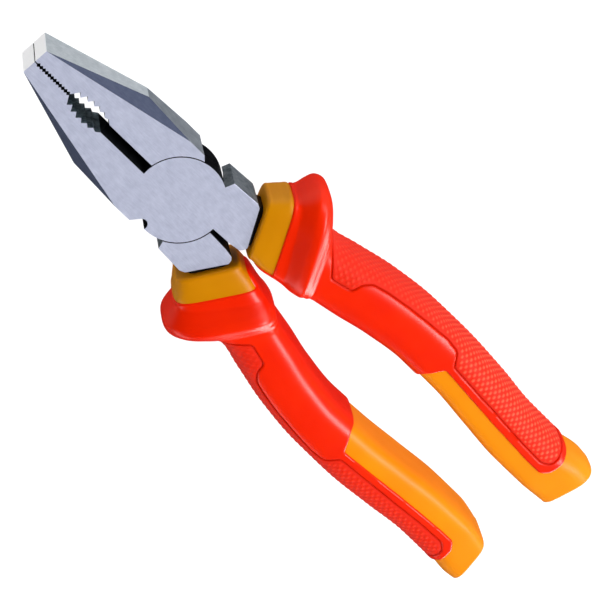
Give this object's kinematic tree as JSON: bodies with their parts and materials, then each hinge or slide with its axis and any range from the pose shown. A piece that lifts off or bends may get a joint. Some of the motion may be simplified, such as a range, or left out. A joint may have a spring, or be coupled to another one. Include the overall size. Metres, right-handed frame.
{
  "type": "combination pliers",
  "caption": "Insulated lineman pliers: serrated tips, pipe grip and side cutter on a riveted lap joint, two-colour moulded handles with flared finger guards and textured grip pads.",
  "frame": {"origin": "on the pivot axis, where it leaves the head's ground rear face", "axes": "+X to the jaw tips, +Z out of the head's front face along the pivot axis, +Y to the side of the front half's jaw, pliers closed"},
  "size_m": [0.1978, 0.0584, 0.0252],
  "materials": {
    "ground_steel": "ground bright on the faces, black oxide in the cutter slot, lap recess and tang",
    "rivet_steel": "ground flush",
    "yellow_insulation": "satin moulded",
    "red_insulation": "glossy moulded",
    "soft_red_grip": "soft moulded with a small diamond texture"
  },
  "bodies": {
    "rear_half": {"rear_jaw_forging": "ground_steel", "pivot_rivet": "rivet_steel", "rear_handle_core": "yellow_insulation", "rear_handle_shell": "red_insulation", "rear_grip_pad": "soft_red_grip"},
    "front_half": {"front_jaw_forging": "ground_steel", "front_handle_core": "yellow_insulation", "front_handle_shell": "red_insulation", "front_grip_pad": "soft_red_grip"}
  },
  "joints": [
    {"name": "pivot", "type": "hinge", "parent": "rear_half", "child": "front_half", "pos_m": [0, 0, 0], "axis": [0, 0, 1], "range_deg": [0, 40]}
  ]
}
